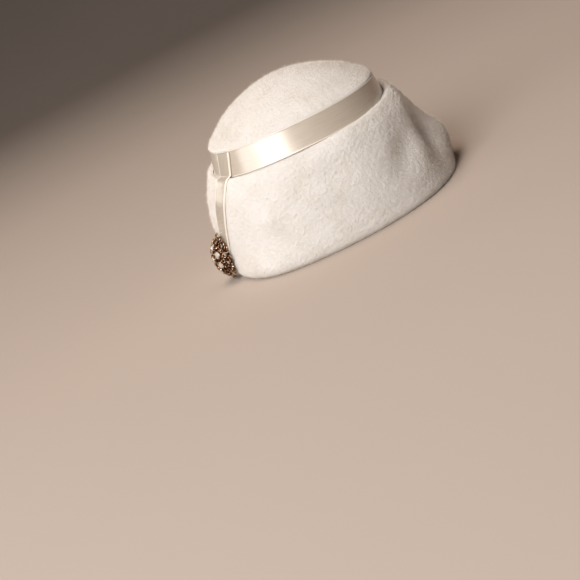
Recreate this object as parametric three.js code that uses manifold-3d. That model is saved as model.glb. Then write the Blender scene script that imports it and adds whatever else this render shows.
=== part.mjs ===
// A felt hat standing on its brim: domed crown, deep fluted brim, satin band, satin strip and brooch.
// Millimetres. +X is the right of the front view, -Y the front and +Z up; the rolled hem rests on z = 0.
import * as THREE from 'three';
import { mergeVertices } from 'three/addons/utils/BufferGeometryUtils.js';
import Module from 'manifold-3d';

// Rows of values under named columns.
function table(columns, ...rows) {
  return rows.map((row) => Object.fromEntries(columns.map((column, k) => [column, row[k]])));
}

// Thickness of the sheet materials, and the clearance kept between pieces.
const FELT = 2.5;
const RIBBON = 1.0;
const GAP = 0.4;

// How finely the felt is divided: steps round the hat where it is plain and where it is folded, between two
// azimuths in degrees, and steps down the dome and down the crown's wall.
const AROUND = { plain: 40, folded: 24, foldedFrom: -60, foldedTo: 0 };
const DOME_STEPS = 7;
const WALL_STEPS = 2;

// Outer face of the ribbon band, from its top edge to its low edge.
// Each section is a squared oval with its own reach to the right, left, front and back.
const BAND = table(
  ['height', 'right', 'left', 'front', 'back', 'square'],
  [112.2, 83.0, 85.4, 82.2, 91.0, 2.4],
  [90.0, 85.2, 91.6, 88.6, 97.6, 2.32],
);
// The crown and its band lean: they are lower by this much at the right and at the back.
const LEAN = { right: 2.1, back: 1.1 };

// The dome bulges over the band's top edge, and the wall runs on below the band inside the brim.
const DOME_RISE = 37.5;
const BROW_ABOVE_BAND = 1.8;
const WALL_BELOW_BAND = 8.0;

// Outer face of the brim, from the neck under the band to the felt's cut edge inside the hem.
// frontDip is how much lower the section lies at the front than at the back, and steps is how many steps
// lead from the section to the next one.
const BRIM = table(
  ['name', 'steps', 'height', 'frontDip', 'right', 'left', 'front', 'back', 'square'],
  ['neck', 2, 92.5, 4.0, 86.2, 92.4, 89.4, 98.4, 2.34],
  ['crest', 2, 95.5, 4.9, 90.4, 95.0, 92.6, 101.8, 2.3],
  ['shoulder', 1, 92.0, 4.4, 95.8, 98.6, 97.4, 105.2, 2.24],
  ['slope', 2, 84.0, 3.0, 101.2, 102.6, 102.0, 108.5, 2.2],
  ['upper', 2, 72.0, 1.5, 105.4, 108.4, 106.5, 111.5, 2.15],
  ['middle', 2, 54.0, 0, 110.5, 113.2, 113.0, 115.0, 2.1],
  ['lower', 1, 36.0, 0, 116.8, 115.6, 117.0, 118.5, 2.1],
  ['bulge', 2, 17.0, 0, 117.6, 117.3, 119.0, 121.0, 2.15],
  ['turn', 2, 5.0, 0, 116.8, 115.8, 117.5, 119.0, 2.22],
  ['rest_out', 1, 0, 0, 115.0, 111.6, 113.5, 114.5, 2.22],
  ['rest_in', 1, 0, 0, 111.0, 107.4, 109.5, 110.5, 2.22],
  ['hem', 0, 6.0, 0, 106.0, 102.0, 104.5, 105.5, 2.22],
);

// Soft folds of the brim: azimuth in degrees (0 right, -90 front) at the fold's middle height, how far it
// slants for each mm of height, its half-widths in degrees and mm, and how deep it goes (minus stands out).
const FOLDS = table(
  ['name', 'azimuth', 'height', 'slant', 'halfAngle', 'halfHeight', 'depth'],
  ['right_valley', -15.5, 54, 0.35, 11, 29, 14.5],
  ['right_bulge', 7, 28, 0.26, 14, 18, -8.0],
  ['ridge', -39, 57, 0.3, 9, 32, -2.0],
  ['front_dimple', -46, 49, 0.35, 11, 19, 6.3],
  ['front_dent', -91, 46, 0.1, 10, 20, 1.2],
  ['left_corner', -132, 6, 0, 20, 16, -4.5],
  ['back_flute', 62, 48, 0.1, 14, 30, 3.0],
);

// The narrow ribbon: its width, and where its middle runs at each height.
const STRIP_WIDTH = 21;
const STRIP_PATH = table(
  ['height', 'azimuth'],
  [112, -145.3],
  [93, -148.5],
  [50, -156.5],
  [14, -165.5],
);
const STRIP_COLUMNS = 4;

// The brooch: where its middle sits on the brim, and its pierced dome.
const BROOCH = { azimuth: -164, height: 24.6, tilt: 17, seat: 1.9, wallRadius: 115 };
const DOME = { halfWidth: 15.5, halfLength: 18, height: 11.5, metal: 1.2, around: 24, steps: 4 };
// Openings through the dome: how many, how far up the dome as an angle, and their radius.
const PIERCINGS = { count: 12, rise: 21, radius: 2.0 };
// Wire loops soldered round the rim.
const LOOPS = { count: 12, radius: 2.7, wire: 0.75, lift: 1.3 };
// Clear stones: one on top and a ring of smaller ones on the dome's flank.
const STONES = [
  { count: 1, rise: 90, radius: 3.6 },
  { count: 7, rise: 50, radius: 2.9 },
];
const COLLET = { play: 0.5, wall: 0.7, lip: 1.4, foot: 2.1, seat: 1.6, sides: 8 };

const wasm = await Module();
wasm.setup();
const radians = THREE.MathUtils.degToRad;

// One section of a table at a station counted in rows, smoothly between the rows.
function sectionAt(sections, station) {
  const row = Math.min(Math.floor(station), sections.length - 2);
  const f = station - row;
  const section = {};
  for (const column of ['height', 'frontDip', 'right', 'left', 'front', 'back', 'square']) {
    const value = (k) => sections[THREE.MathUtils.clamp(row + k, 0, sections.length - 1)][column];
    const [a, b, c, d] = [-1, 0, 1, 2].map(value);
    section[column] = b + 0.5 * f * (c - a + f * (2 * a - 5 * b + 4 * c - d + f * (3 * (b - c) + d - a)));
  }
  return section;
}

// How far a squared oval reaches in one direction.
function reach(section, azimuth) {
  const across = Math.cos(azimuth) / (Math.cos(azimuth) > 0 ? section.right : section.left);
  const along = Math.sin(azimuth) / (Math.sin(azimuth) > 0 ? section.back : section.front);
  const n = section.square;
  return (Math.abs(across) ** n + Math.abs(along) ** n) ** (-1 / n);
}

// How much a leaning section is lower in one direction.
function lean(azimuth) {
  return LEAN.right * Math.cos(azimuth) + LEAN.back * Math.sin(azimuth);
}

function polar(radius, azimuth, height) {
  return new THREE.Vector3(radius * Math.cos(azimuth), radius * Math.sin(azimuth), height);
}

// A point of the band's outer face, moved inwards by a depth; station 0 is the top edge and 1 the low edge.
function bandPoint(azimuth, station, depth = 0) {
  const top = BAND[0];
  const low = BAND[1];
  const section = {};
  for (const column of Object.keys(top)) {
    section[column] = THREE.MathUtils.lerp(top[column], low[column], station);
  }
  return polar(reach(section, azimuth) - depth, azimuth, section.height - lean(azimuth));
}

// A point of the dome's outer face: share 0 is the apex and 1 the brow over the band.
function domePoint(azimuth, share) {
  const brow = BAND[0];
  const radius = (brow.right * brow.left + DOME_RISE * DOME_RISE) / (2 * DOME_RISE);
  const angle = share * Math.asin(Math.sqrt(brow.right * brow.left) / radius);
  const spread = Math.sin(angle) * radius / Math.sqrt(brow.right * brow.left);
  const section = { ...brow, square: THREE.MathUtils.lerp(2, brow.square, spread * spread) };
  const height = brow.height + BROW_ABOVE_BAND + DOME_RISE - radius * (1 - Math.cos(angle));
  return polar(spread * reach(section, azimuth), azimuth, height - spread * lean(azimuth));
}

// A point of the brim's outer face at a station counted in rows of its table, folds included.
function brimPoint(azimuth, station) {
  const section = sectionAt(BRIM, station);
  const height = section.height - section.frontDip * ((1 - Math.sin(azimuth)) / 2) ** 2;
  // The ribbon holds the brim in at its neck, so the folds fade out towards it.
  const free = THREE.MathUtils.clamp((station - 1) / 2, 0, 1);
  let radius = reach(section, azimuth);
  for (const fold of FOLDS) {
    const turn = THREE.MathUtils.radToDeg(azimuth) - fold.azimuth - fold.slant * (height - fold.height);
    const off = THREE.MathUtils.euclideanModulo(turn + 180, 360) - 180;
    const above = height - fold.height;
    const share = Math.exp(-((off / fold.halfAngle) ** 2) - (above / fold.halfHeight) ** 2);
    radius -= free * fold.depth * share;
  }
  return polar(radius, azimuth, height);
}

// Outward normal of a face given as a function of azimuth and station that runs downwards.
function normalOf(face, azimuth, station, last) {
  const step = 0.01;
  const before = face(azimuth, Math.max(station - step, 0));
  const after = face(azimuth, Math.min(station + step, last));
  const along = after.sub(before);
  const around = face(azimuth + step, station).sub(face(azimuth - step, station));
  return along.cross(around).normalize();
}

// Skins rings of points into a closed body. A ring of one point closes an end; wrap joins last to first.
function skin(rings, wrap) {
  const points = [];
  const index = [];
  const starts = rings.map((ring) => {
    const start = points.length;
    points.push(...ring);
    return start;
  });
  const count = Math.max(...rings.map((ring) => ring.length));
  const last = wrap ? rings.length : rings.length - 1;
  for (let i = 0; i < last; i += 1) {
    const here = rings[i].length;
    const there = rings[(i + 1) % rings.length].length;
    const a = starts[i];
    const b = starts[(i + 1) % rings.length];
    for (let j = 0; j < count; j += 1) {
      const next = (j + 1) % count;
      if (there > 1) index.push(a + (j % here), b + j, b + next);
      if (here > 1) index.push(a + j, b + (next % there), a + next);
    }
  }
  const geometry = new THREE.BufferGeometry().setFromPoints(points);
  geometry.setIndex(index);
  return geometry;
}

// A range of evenly spaced values, and the azimuths round the hat.
function range(from, to, steps) {
  return Array.from({ length: steps + 1 }, (_, k) => from + ((to - from) * k) / steps);
}
const azimuths = [
  ...range(AROUND.foldedFrom, AROUND.foldedTo, AROUND.folded).slice(0, -1),
  ...range(AROUND.foldedTo, AROUND.foldedFrom + 360, AROUND.plain).slice(0, -1),
].map((degrees) => radians(degrees));

// Crown: dome and wall, with an inner face one felt thickness in.
function crownGeometry() {
  const lowest = 1 + WALL_BELOW_BAND / (BAND[0].height - BAND[1].height);
  const wallStations = [...range(0, 1, WALL_STEPS), lowest];
  const under = RIBBON + GAP;
  const domeShares = range(0, 1, DOME_STEPS).slice(1);
  const outer = domeShares.map((share) => azimuths.map((azimuth) => domePoint(azimuth, share)));
  const wall = (depth) => wallStations.map((station) => (
    azimuths.map((azimuth) => bandPoint(azimuth, station, depth))
  ));
  const inner = domeShares.slice(0, -1).map((share) => azimuths.map((azimuth) => {
    const normal = normalOf(domePoint, azimuth, share, 1);
    return domePoint(azimuth, share).addScaledVector(normal, -FELT);
  }));
  const apex = domePoint(0, 0);
  const apexInside = apex.clone().setZ(apex.z - FELT);
  const outside = [...outer, ...wall(under)];
  const inside = [...inner, ...wall(under + FELT)];
  return skin([[apex], ...outside, ...inside.reverse(), [apexInside]], false);
}

// Brim: outer face from neck to cut edge, and back up along an inner face one felt thickness in.
function brimGeometry() {
  const last = BRIM.length - 1;
  const stations = BRIM.flatMap((row, k) => Array.from({ length: row.steps }, (_, i) => k + i / row.steps));
  stations.push(last);
  const outer = stations.map((station) => azimuths.map((azimuth) => brimPoint(azimuth, station)));
  const inner = stations.map((station) => azimuths.map((azimuth) => {
    const normal = normalOf(brimPoint, azimuth, station, last);
    return brimPoint(azimuth, station).addScaledVector(normal, -FELT);
  }));
  return skin([...outer, ...inner.reverse()], true);
}

// Band: a ring of ribbon one thickness deep.
function bandGeometry() {
  const face = (depth) => range(0, 1, WALL_STEPS).map((station) => (
    azimuths.map((azimuth) => bandPoint(azimuth, station, depth))
  ));
  return skin([...face(0), ...face(RIBBON).reverse()], true);
}

function stripAzimuth(height) {
  const next = Math.max(1, STRIP_PATH.findIndex((row) => row.height <= height));
  const upper = STRIP_PATH[next - 1];
  const lower = STRIP_PATH[next];
  const share = (height - upper.height) / (lower.height - upper.height);
  return THREE.MathUtils.lerp(upper.azimuth, lower.azimuth, share);
}

// Strip: down the band, over the brim's crest and down its wall, following the faces it lies on.
function stripGeometry() {
  const crest = BRIM.findIndex((row) => row.name === 'crest');
  const bulge = BRIM.findIndex((row) => row.name === 'bulge');
  const rows = range(0, 0.9, 5).map((station) => ({ face: bandPoint, station, last: 1 }));
  rows.push(...range(crest + 0.25, bulge + 0.2, 14).map((station) => ({
    face: brimPoint, station, last: BRIM.length - 1,
  })));
  const sections = rows.map(({ face, station, last }) => {
    const middle = radians(stripAzimuth(face(radians(STRIP_PATH[1].azimuth), station).z));
    const half = STRIP_WIDTH / 2 / Math.hypot(face(middle, station).x, face(middle, station).y);
    const across = range(middle - half, middle + half, STRIP_COLUMNS);
    const lay = (azimuth, lift) => {
      const normal = normalOf(face, azimuth, station, last);
      return face(azimuth, station).addScaledVector(normal, lift);
    };
    return [
      ...across.map((azimuth) => lay(azimuth, GAP + RIBBON)),
      ...across.reverse().map((azimuth) => lay(azimuth, GAP)),
    ];
  });
  const centre = (ring) => ring.reduce((sum, p) => sum.add(p), new THREE.Vector3()).divideScalar(ring.length);
  return skin([[centre(sections[0])], ...sections, [centre(sections.at(-1))]], false);
}

// Joining and cutting of closed bodies.
function solid(geometry) {
  const bare = new THREE.BufferGeometry().setAttribute('position', geometry.getAttribute('position'));
  bare.setIndex(geometry.index);
  const merged = mergeVertices(bare, 1e-4);
  const corners = merged.index.array;
  const kept = [];
  for (let i = 0; i < corners.length; i += 3) {
    const [a, b, c] = corners.slice(i, i + 3);
    if (a !== b && b !== c && c !== a) kept.push(a, b, c);
  }
  return new wasm.Manifold(new wasm.Mesh({
    numProp: 3,
    vertProperties: new Float32Array(merged.attributes.position.array),
    triVerts: new Uint32Array(kept),
  }));
}

function geometryOf(body) {
  const { vertProperties, triVerts } = body.getMesh();
  const geometry = new THREE.BufferGeometry();
  geometry.setAttribute('position', new THREE.BufferAttribute(vertProperties, 3));
  geometry.setIndex(new THREE.BufferAttribute(triVerts, 1));
  return geometry;
}

// Brooch frame: x along the brim, y up along the strip and z out of the brim.
function broochFrame() {
  const bulge = BRIM.findIndex((row) => row.name === 'bulge');
  const rowHeight = BRIM[bulge - 1].height - BRIM[bulge].height;
  const station = bulge - (BROOCH.height - BRIM[bulge].height) / rowHeight;
  const azimuth = radians(BROOCH.azimuth);
  const out = normalOf(brimPoint, azimuth, station, BRIM.length - 1);
  const across = new THREE.Vector3(0, 0, 1).cross(out).normalize();
  const up = out.clone().cross(across);
  const frame = new THREE.Matrix4().makeBasis(across, up, out).setPosition(brimPoint(azimuth, station));
  return frame.multiply(new THREE.Matrix4().makeRotationZ(radians(BROOCH.tilt)));
}

// A point of the setting's dome: angle round it, rise from the rim in degrees, and depth below its face.
function settingPoint(angle, rise, depth = 0) {
  const x = (DOME.halfWidth - depth) * Math.cos(angle) * Math.cos(radians(rise));
  const y = (DOME.halfLength - depth) * Math.sin(angle) * Math.cos(radians(rise));
  const drop = (x * x) / (2 * BROOCH.wallRadius);
  return new THREE.Vector3(x, y, BROOCH.seat - drop + (DOME.height - depth) * Math.sin(radians(rise)));
}

// A frame on the setting's dome with z out of its face.
function settingFrame(angle, rise) {
  const out = new THREE.Vector3(
    Math.cos(angle) * Math.cos(radians(rise)) / DOME.halfWidth,
    Math.sin(angle) * Math.cos(radians(rise)) / DOME.halfLength,
    Math.sin(radians(rise)) / DOME.height,
  ).normalize();
  const turn = new THREE.Quaternion().setFromUnitVectors(new THREE.Vector3(0, 0, 1), out);
  return new THREE.Matrix4().compose(settingPoint(angle, rise), turn, new THREE.Vector3(1, 1, 1));
}

// A turned body standing along z, from pairs of radius and height that start and end on the axis.
function turned(profile, sides) {
  const geometry = new THREE.LatheGeometry(profile.map(([r, z]) => new THREE.Vector2(r, z)), sides);
  return geometry.rotateX(Math.PI / 2);
}

const stonePlaces = STONES.flatMap(({ count, rise, radius }) => Array.from({ length: count }, (_, k) => ({
  radius,
  frame: settingFrame(((k + 0.25) * 2 * Math.PI) / count, rise),
})));

// Setting: pierced dome, wire loops round its rim and a collet for each stone, soldered into one.
function settingGeometry() {
  const angles = range(0, 2 * Math.PI, DOME.around).slice(0, -1);
  const rises = range(0, 90, DOME.steps).slice(0, -1);
  const shell = (depth) => rises.map((rise) => angles.map((angle) => settingPoint(angle, rise, depth)));
  const top = (depth) => [settingPoint(0, 90, depth)];
  let body = solid(skin([top(0), ...shell(0).reverse(), ...shell(DOME.metal), top(DOME.metal)], false));
  for (let k = 0; k < PIERCINGS.count; k += 1) {
    const frame = settingFrame((k * 2 * Math.PI) / PIERCINGS.count, PIERCINGS.rise);
    const drill = [[0, -4], [PIERCINGS.radius, -4], [PIERCINGS.radius, 4], [0, 4]];
    body = body.subtract(solid(turned(drill, 6).applyMatrix4(frame)));
  }
  for (let k = 0; k < LOOPS.count; k += 1) {
    const loop = new THREE.TorusGeometry(LOOPS.radius, LOOPS.wire, 5, 8);
    const place = settingPoint(((k + 0.5) * 2 * Math.PI) / LOOPS.count, 0);
    const outwards = Math.atan2(place.y, place.x);
    loop.rotateX(radians(-20)).translate(0, LOOPS.radius - LOOPS.wire, LOOPS.lift);
    loop.rotateZ(outwards - Math.PI / 2).translate(place.x, place.y, place.z);
    body = body.add(solid(loop));
  }
  for (const { radius, frame } of stonePlaces) {
    const bore = radius + COLLET.play;
    const wide = bore + COLLET.wall;
    const cup = [[0, -COLLET.foot], [wide * 0.8, -COLLET.foot], [wide, COLLET.lip], [0, COLLET.lip]];
    const hollow = [[0, -COLLET.seat], [bore, 0.2], [bore, COLLET.lip + 3], [0, COLLET.lip + 3]];
    body = body.add(solid(turned(cup, COLLET.sides).applyMatrix4(frame)));
    body = body.subtract(solid(turned(hollow, COLLET.sides).applyMatrix4(frame)));
  }
  return geometryOf(body);
}

// A cut stone: eight pavilion facets, a thin girdle, eight crown facets and a flat table.
function stoneGeometry(radius, frame) {
  const cut = [[0, -COLLET.seat + 0.35], [radius, 0.6], [radius, 0.9], [radius * 0.62, 1.9], [0, 1.9]];
  return turned(cut, 8).applyMatrix4(frame);
}

const felt = { color: 0xe9e1d2, roughness: 0.95, metalness: 0 };
const satin = { color: 0xcdbfae, roughness: 0.4, metalness: 0 };
const gold = { color: 0xa67c3a, roughness: 0.3, metalness: 1 };
const crystal = { color: 0xf4f6f8, roughness: 0.05, metalness: 0 };

const hat = new THREE.Group();
function piece(name, geometry, look, parent = hat) {
  const mesh = new THREE.Mesh(geometry, new THREE.MeshStandardMaterial(look));
  mesh.name = name;
  parent.add(mesh);
}

piece('crown', crownGeometry(), felt);
piece('brim', brimGeometry(), felt);
piece('ribbon_band', bandGeometry(), satin);
piece('ribbon_strip', stripGeometry(), satin);

const brooch = new THREE.Group();
brooch.applyMatrix4(broochFrame());
hat.add(brooch);
piece('brooch_setting', settingGeometry(), gold, brooch);
stonePlaces.forEach(({ radius, frame }, k) => {
  piece(`stone_${k + 1}`, stoneGeometry(radius, frame), crystal, brooch);
});

// The part's origin is under the middle of its outline.
hat.updateMatrixWorld(true);
const outline = new THREE.Box3().setFromObject(hat, true);
const middle = outline.getCenter(new THREE.Vector3());
hat.children.forEach((child) => {
  child.position.x -= middle.x;
  child.position.y -= middle.y;
});

export default hat;
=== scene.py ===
# %% [markdown]
# # A felt hat with a satin band and a brooch
# The hat stands on its rolled hem, as it would on a table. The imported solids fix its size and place, and
# this lesson dresses them: felt with a nap, satin ribbon with pale selvages, and a gold-coloured brooch with
# clear stones. Each solid is made again as a finer mesh from the same formulas as the solid, so that
# it stays where the solid is.

# %% Load the frame
import math

import bmesh
import bpy
import numpy as np
from mathutils import Matrix, Vector


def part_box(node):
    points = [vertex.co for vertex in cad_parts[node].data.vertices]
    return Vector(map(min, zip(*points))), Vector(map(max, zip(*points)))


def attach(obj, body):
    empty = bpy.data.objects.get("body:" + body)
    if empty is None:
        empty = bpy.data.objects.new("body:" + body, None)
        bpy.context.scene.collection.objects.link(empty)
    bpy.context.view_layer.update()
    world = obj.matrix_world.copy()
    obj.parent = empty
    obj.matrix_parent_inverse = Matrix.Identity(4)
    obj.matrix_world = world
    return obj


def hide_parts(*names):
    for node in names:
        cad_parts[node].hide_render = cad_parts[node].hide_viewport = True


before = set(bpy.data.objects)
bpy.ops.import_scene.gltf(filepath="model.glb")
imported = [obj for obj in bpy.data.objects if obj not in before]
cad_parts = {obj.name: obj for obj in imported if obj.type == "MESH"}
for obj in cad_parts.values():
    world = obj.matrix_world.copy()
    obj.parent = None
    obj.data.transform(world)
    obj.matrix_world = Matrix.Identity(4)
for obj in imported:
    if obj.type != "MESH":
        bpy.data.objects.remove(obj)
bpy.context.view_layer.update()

MM = 0.001

# %% [markdown]
# ## Sizes
# A hatter would write these down as a row of sections, measured in millimetres on the block: how high each
# section is, how far it reaches to the right, left, front and back, and how square its oval is. The same
# rows drive the solids. Only the names of the pieces and the felt's finer detail are added here.

# %% Sizes of the felt, in millimetres
FELT = 2.5
RIBBON = 1.0
GAP = 0.4

SECTION = ("height", "right", "left", "front", "back", "square")
BAND_TOP = dict(zip(SECTION, (112.2, 83.0, 85.4, 82.2, 91.0, 2.4)))
BAND_LOW = dict(zip(SECTION, (90.0, 85.2, 91.6, 88.6, 97.6, 2.32)))
LEAN_RIGHT = 2.1
LEAN_BACK = 1.1
DOME_RISE = 37.5
BROW_ABOVE_BAND = 1.8
WALL_BELOW_BAND = 8.0

# Columns of the brim: height, how far its front dips, right, left, front, back and square.
BRIM_ROWS = {
    "neck": (92.5, 4.0, 86.2, 92.4, 89.4, 98.4, 2.34),
    "crest": (95.5, 4.9, 90.4, 95.0, 92.6, 101.8, 2.3),
    "shoulder": (92.0, 4.4, 95.8, 98.6, 97.4, 105.2, 2.24),
    "slope": (84.0, 3.0, 101.2, 102.6, 102.0, 108.5, 2.2),
    "upper": (72.0, 1.5, 105.4, 108.4, 106.5, 111.5, 2.15),
    "middle": (54.0, 0, 110.5, 113.2, 113.0, 115.0, 2.1),
    "lower": (36.0, 0, 116.8, 115.6, 117.0, 118.5, 2.1),
    "bulge": (17.0, 0, 117.6, 117.3, 119.0, 121.0, 2.15),
    "turn": (5.0, 0, 116.8, 115.8, 117.5, 119.0, 2.22),
    "rest_out": (0, 0, 115.0, 111.6, 113.5, 114.5, 2.22),
    "rest_in": (0, 0, 111.0, 107.4, 109.5, 110.5, 2.22),
    "hem": (6.0, 0, 106.0, 102.0, 104.5, 105.5, 2.22),
}
BRIM = np.array(list(BRIM_ROWS.values()), float)
STATION = {name: k for k, name in enumerate(BRIM_ROWS)}

# Soft folds: azimuth in degrees at the middle height, that height, slant in degrees per mm, half-width in
# degrees, half-height in mm, and depth in mm, where minus stands out.
FOLDS = {
    "right_valley": (-15.5, 54, 0.35, 11, 29, 14.5),
    "right_bulge": (7, 28, 0.26, 14, 18, -8.0),
    "ridge": (-39, 57, 0.3, 9, 32, -2.0),
    "front_dimple": (-46, 49, 0.35, 11, 19, 6.3),
    "front_dent": (-91, 46, 0.1, 10, 20, 1.2),
    "left_corner": (-132, 6, 0, 20, 16, -4.5),
    "back_flute": (62, 48, 0.1, 14, 30, 3.0),
}

# The tables count from the middle of the head; the frame counts from the middle of the outline.
# The crown reaches furthest at the foot of its wall, which lies under the ribbon and runs on below it.
UNDER_RIBBON = RIBBON + GAP
CROWN_FOOT = 1 + WALL_BELOW_BAND / (BAND_TOP["height"] - BAND_LOW["height"])
_, crown_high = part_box("crown")
ORIGIN = np.zeros(3)
for axis, side in enumerate(("right", "back")):
    foot_reach = BAND_TOP[side] + (BAND_LOW[side] - BAND_TOP[side]) * CROWN_FOOT - UNDER_RIBBON
    ORIGIN[axis] = crown_high[axis] / MM - foot_reach
print("the head's middle lies at", np.round(ORIGIN, 2), "mm in the frame")

# %% [markdown]
# ## Faces of the felt as functions
# Each face is a function of the azimuth (0 right, -90 degrees front) and of how far down it lies. A
# subdivision cage could be modelled by hand instead, but a function can be sampled as finely as the nap and
# the ribbon need, and the pieces that lie on it follow it exactly.

# %% The faces
def reach(azimuth, right, left, front, back, square):
    """How far a squared oval reaches in a direction."""
    across = np.cos(azimuth) / np.where(np.cos(azimuth) > 0, right, left)
    along = np.sin(azimuth) / np.where(np.sin(azimuth) > 0, back, front)
    return (np.abs(across) ** square + np.abs(along) ** square) ** (-1 / square)


def polar(radius, azimuth, height):
    return np.stack([radius * np.cos(azimuth), radius * np.sin(azimuth), height + 0 * azimuth], -1)


def lean(azimuth):
    return LEAN_RIGHT * np.cos(azimuth) + LEAN_BACK * np.sin(azimuth)


def band_face(azimuth, station):
    """Outer face of the band: station 0 is its top edge and 1 its low edge."""
    height, *oval = [BAND_TOP[c] + (BAND_LOW[c] - BAND_TOP[c]) * station for c in SECTION]
    return polar(reach(azimuth, *oval), azimuth, height - lean(azimuth))


def dome_face(azimuth, share):
    """Outer face of the dome: share 0 is the apex and 1 the brow over the band."""
    half = math.sqrt(BAND_TOP["right"] * BAND_TOP["left"])
    ball = (half ** 2 + DOME_RISE ** 2) / (2 * DOME_RISE)
    angle = share * math.asin(half / ball)
    spread = np.sin(angle) * ball / half
    oval = [BAND_TOP[c] for c in SECTION[1:5]]
    square = 2 + (BAND_TOP["square"] - 2) * spread ** 2
    height = BAND_TOP["height"] + BROW_ABOVE_BAND + DOME_RISE - ball * (1 - np.cos(angle))
    return polar(spread * reach(azimuth, *oval, square), azimuth, height - spread * lean(azimuth))


def brim_face(azimuth, station):
    """Outer face of the brim at a station counted in rows of its table, folds included."""
    azimuth, station = np.broadcast_arrays(azimuth, station)
    row = np.clip(np.floor(station).astype(int), 0, len(BRIM) - 2)
    f = (station - row)[..., None]
    a, b, c, d = (BRIM[np.clip(row + k, 0, len(BRIM) - 1)] for k in (-1, 0, 1, 2))
    columns = b + 0.5 * f * (c - a + f * (2 * a - 5 * b + 4 * c - d + f * (3 * (b - c) + d - a)))
    height, dip, *oval = np.moveaxis(columns, -1, 0)
    height = height - dip * ((1 - np.sin(azimuth)) / 2) ** 2
    radius = reach(azimuth, *oval)
    # The ribbon holds the brim in at its neck, so the folds fade out towards it.
    free = np.clip((station - 1) / 2, 0, 1)
    for middle, level, slant, half_angle, half_height, depth in FOLDS.values():
        up = height - level
        off = (np.degrees(azimuth) - middle - slant * up + 180) % 360 - 180
        radius = radius - free * depth * np.exp(-(off / half_angle) ** 2 - (up / half_height) ** 2)
    return polar(radius, azimuth, height)


def unit(v):
    return v / np.linalg.norm(v, axis=-1, keepdims=True)


def outward(face, azimuth, station, first, last):
    """Outward normals of a face whose station runs downwards."""
    step = 0.004
    along = face(azimuth, np.minimum(station + step, last)) - face(azimuth, np.maximum(station - step, first))
    around = face(azimuth + step, station) - face(azimuth - step, station)
    return unit(np.cross(along, around))


print("crown top", float(dome_face(np.array(0.0), np.array(0.0))[2]), "mm above the table")

# %% [markdown]
# ## Small helpers
# Every mesh here is made from arrays of points: fast, the same each run, and easy to check. One helper turns
# rows of points into a mesh with its lengths kept as a UV map in millimetres, one adds a node to a material,
# and one turns a hex colour into the linear values that the renderer works in.

# %% Meshes from arrays
def to_frame(points):
    """Millimetres from the head's middle to metres in the frame."""
    return (np.asarray(points, float) + ORIGIN) * MM


def mesh_object(name, points, faces, material):
    mesh = bpy.data.meshes.new(name)
    mesh.from_pydata(points.tolist(), [], [tuple(f) for f in faces])
    mesh.polygons.foreach_set("use_smooth", [True] * len(mesh.polygons))
    mesh.materials.append(material)
    mesh.update()
    made = bpy.data.objects.new(name, mesh)
    bpy.context.scene.collection.objects.link(made)
    print(name, len(points), "points", sum(len(f) - 2 for f in faces), "triangles")
    return made


def mesh_piece(name, points, faces, material):
    """A mesh that belongs to the hat and rides on its one body."""
    piece = mesh_object(name, points, faces, material)
    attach(piece, "root")
    return piece


def quads(rows, columns, wrap_rows, wrap_columns):
    """Index quads of a grid of points, joined round where asked."""
    i = np.arange(rows if wrap_rows else rows - 1)[:, None]
    j = np.arange(columns if wrap_columns else columns - 1)[None, :]
    i2, j2 = (i + 1) % rows, (j + 1) % columns
    corners = [i * columns + j, i2 * columns + j, i2 * columns + j2, i * columns + j2]
    return np.stack(np.broadcast_arrays(*corners), -1).reshape(-1, 4).tolist()


def lay_uv(piece, along, across):
    """A UV map in millimetres, from each point's length along and across the cloth."""
    layer = piece.data.uv_layers.new(name="cloth_mm")
    corners = np.empty(len(piece.data.loops), int)
    piece.data.loops.foreach_get("vertex_index", corners)
    flat = np.stack([np.ravel(along)[corners], np.ravel(across)[corners]], -1)
    layer.data.foreach_set("uv", flat.ravel())


print("three rows of eight points, joined round, give", len(quads(3, 8, False, True)), "quads")

# %% Materials from nodes
def hex_colour(code):
    """An sRGB hex colour as linear RGBA."""
    channels = [int(code[k:k + 2], 16) / 255 for k in (1, 3, 5)]
    return [c / 12.92 if c <= 0.04045 else ((c + 0.055) / 1.055) ** 2.4 for c in channels] + [1.0]


def new_material(name):
    material = bpy.data.materials.new(name)
    material.use_nodes = True
    return material, material.node_tree.nodes["Principled BSDF"]


def node(material, kind, settings=None, **links):
    """Adds a node: settings are its attributes, socket values or colour stops, links its linked inputs."""
    made = material.node_tree.nodes.new(kind)
    for key, value in (settings or {}).items():
        if key == "stops":
            for _ in value[2:]:
                made.color_ramp.elements.new(1.0)
            for stop, (place, code) in zip(made.color_ramp.elements, value):
                stop.position = place
                stop.color = hex_colour(code)
        elif isinstance(key, int) or key in made.inputs:
            made.inputs[key].default_value = value
        else:
            setattr(made, key, value)
    for key, source in links.items():
        material.node_tree.links.new(source, made.inputs[key.replace("_", " ")])
    return made


def wire(material, source, target):
    material.node_tree.links.new(source, target)


def set_inputs(shader, values):
    for key, value in values.items():
        shader.inputs[key].default_value = value


print("mid grey is", round(hex_colour("#808080")[0], 3), "in linear light")

# %% [markdown]
# ## Ivory felt
# Wool felt is a mat of scales and fibres, pressed on a block and then brushed. Up close it has no weave: it
# is mottled in lumps of two to four millimetres, with a finer grain of fibre ends, and at a glancing
# angle the loose fibres catch light as a pale sheen. Noise at those real sizes gives the bump, and the
# sheen layer of the shader gives the pale edge. The loose fibres themselves follow later as real strands.

# %% Felt material
FELT_PATCH = 28.0
FELT_LUMP = 3.2
FELT_GRAIN = 0.9
FELT_FIBRE = 0.35


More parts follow.
